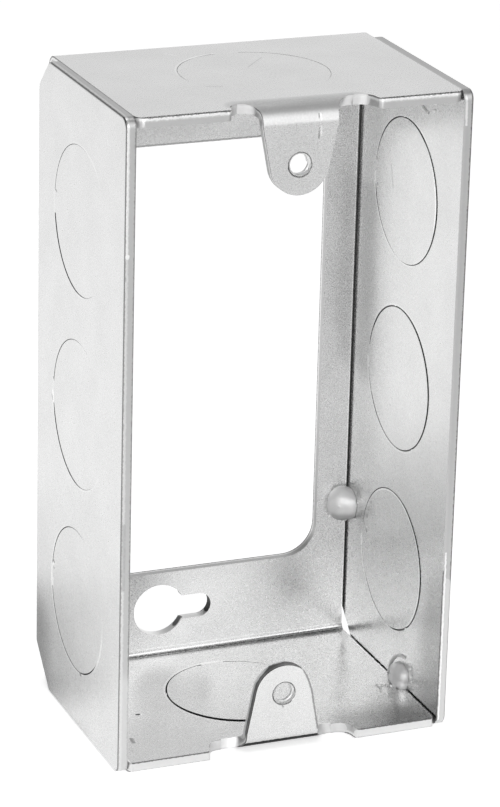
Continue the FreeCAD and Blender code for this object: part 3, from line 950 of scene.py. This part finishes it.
# Floor. A plain white table that the box stands on. The camera, and metal that mirrors it, see it
# glow white; for the metal the glow fades further in front, and is taken away near the box by a
# painted shadow given as strokes.
floor_size = 6.0
floor_colour = "#E8E8E8"
floor_glow = 0.6
mirrored_share = 0.91
shade_near = -0.25
shade_far = -0.05
# Painted shadow of the box: strokes where the glow is taken away from the metal.
painted_box_shadow = [
    ((-10, 0, 0), (10, 0, 0), 14, 5, 1.0),
    ((10, 35, 0), (-18, 74, 0), 12, 18, 0.85),
    ((-24, 22, 0), (-32, 46, 0), 5, 18, 1.0),
    ((-36, 56, 0), (-44, 76, 0), 2, 18, 0.2),
]
bpy.ops.object.select_all(action="DESELECT")
bpy.ops.mesh.primitive_plane_add(size=floor_size, location=(0, 0, 0))
floor = bpy.context.object
floor.name = "floor"

# Matt white board. To the camera, and in metal and clear parts, a glow is added that makes it white.
white_table = new_material("white_table")
tree = white_table.node_tree
rays = add_node(tree, "ShaderNodeLightPath")
floor_place = add_node(tree, "ShaderNodeTexCoord").outputs["Object"]
floor_y = add_node(tree, "ShaderNodeSeparateXYZ", {}, {0: floor_place}).outputs["Y"]
behind = add_node(
    tree, "ShaderNodeMapRange", {"From Min": shade_near, "From Max": shade_far}, {"Value": floor_y}
).outputs["Result"]
shaded = mark_mask(tree, floor_place, painted_box_shadow)
unshaded = add_node(tree, "ShaderNodeMath", {"operation": "SUBTRACT", 0: 1.0}, {1: shaded}).outputs[0]
behind = add_node(tree, "ShaderNodeMath", {"operation": "MULTIPLY"}, {0: behind, 1: unshaded}).outputs[0]
mirrored_glow = add_node(
    tree, "ShaderNodeMath", {"operation": "MULTIPLY"}, {0: rays.outputs["Is Glossy Ray"], 1: behind}
).outputs[0]
mirrored_glow = add_node(
    tree, "ShaderNodeMath", {"operation": "MULTIPLY", 1: mirrored_share}, {0: mirrored_glow}
).outputs[0]
seen = add_node(
    tree, "ShaderNodeMath", {"operation": "MAXIMUM"}, {0: rays.outputs["Is Camera Ray"], 1: mirrored_glow}
)
seen = add_node(
    tree, "ShaderNodeMath", {"operation": "MAXIMUM"},
    {0: seen.outputs[0], 1: rays.outputs["Is Transmission Ray"]},
)
glow_strength = add_node(
    tree, "ShaderNodeMath", {"operation": "MULTIPLY", 1: floor_glow}, {0: seen.outputs[0]}
)
glow = add_node(tree, "ShaderNodeEmission", {}, {"Strength": glow_strength.outputs[0]})
matte = add_node(tree, "ShaderNodeBsdfDiffuse", {"Color": linear(floor_colour)})
both = add_node(tree, "ShaderNodeAddShader", {}, {0: matte.outputs[0], 1: glow.outputs[0]})
add_node(tree, "ShaderNodeOutputMaterial", {}, {"Surface": both.outputs[0]})
floor.data.materials.append(white_table)


# Studio light. A pale room that is darker above and in front, a wide soft box at the front left,
# a tall one at the front right, and a square one overhead.
world = bpy.data.worlds.new("studio")
bpy.context.scene.world = world
world.use_nodes = True
world.node_tree.nodes.clear()
room_tree = world.node_tree
way = add_node(room_tree, "ShaderNodeTexCoord").outputs["Generated"]
way_parts = add_node(room_tree, "ShaderNodeSeparateXYZ", {}, {0: way}).outputs
leaning = add_node(
    room_tree, "ShaderNodeMath", {"operation": "MULTIPLY_ADD", 1: -0.5},
    {0: way_parts["X"], 2: way_parts["Z"]},
).outputs[0]
low_part = add_node(
    room_tree, "ShaderNodeMapRange", {"From Min": 0.3, "From Max": 0.55, "To Min": 1.0, "To Max": 0.2},
    {"Value": leaning},
).outputs["Result"]
back_part = add_node(
    room_tree, "ShaderNodeMapRange", {"From Min": -0.5, "From Max": 0.2, "To Min": 0.32, "To Max": 0.87},
    {"Value": way_parts["Y"]},
).outputs["Result"]
room_level = add_node(room_tree, "ShaderNodeMath", {"operation": "MULTIPLY"}, {0: low_part, 1: back_part})
room = add_node(
    room_tree, "ShaderNodeBackground", {"Color": linear("#FFFFFF")}, {"Strength": room_level.outputs[0]}
)
add_node(room_tree, "ShaderNodeOutputWorld", {}, {"Surface": room.outputs[0]})


def soft_box(name, place, aim, width, height, brightness):
    """A rectangular soft box that faces its aim. Its brightness is as a white wall's, where 1 is white."""
    lamp = bpy.data.lights.new(name, "AREA")
    lamp.shape = "RECTANGLE"
    lamp.size = width
    lamp.size_y = height
    lamp.energy = brightness * math.pi * width * height
    holder = bpy.data.objects.new(name, lamp)
    bpy.context.scene.collection.objects.link(holder)
    holder.location = place
    holder.rotation_euler = (Vector(aim) - Vector(place)).to_track_quat("-Z", "Y").to_euler()
    holder.visible_camera = False


middle = Vector((0, 0, 0.05))
soft_box("front_left", (-0.3, -0.6, 0.26), middle, 0.8, 0.4, 2.35)
soft_box("front_right", (0.33, -0.62, 0.42), middle, 0.4, 0.8, 1.45)
soft_box("overhead", (-0.1, 0.1, 1.1), middle, 0.6, 0.6, 3.0)


# Camera. Long lens in front of the open side, a little to the left and above.
photo_height = 807
focal_pixels = 3633.4
film = 36.0
camera_place = Vector((-197.23, -480.91, 238.77)) * MM
camera_turn = (69.990, -1.415, -21.860)
camera_data = bpy.data.cameras.new("camera")
camera_data.sensor_fit = "VERTICAL"
camera_data.sensor_height = film
camera_data.lens = focal_pixels / photo_height * film
camera_data.clip_start = 0.01
camera = bpy.data.objects.new("camera", camera_data)
bpy.context.scene.collection.objects.link(camera)
camera.location = camera_place
camera.rotation_euler = [math.radians(a) for a in camera_turn]
bpy.context.scene.camera = camera
bpy.context.scene.view_settings.view_transform = "Standard"
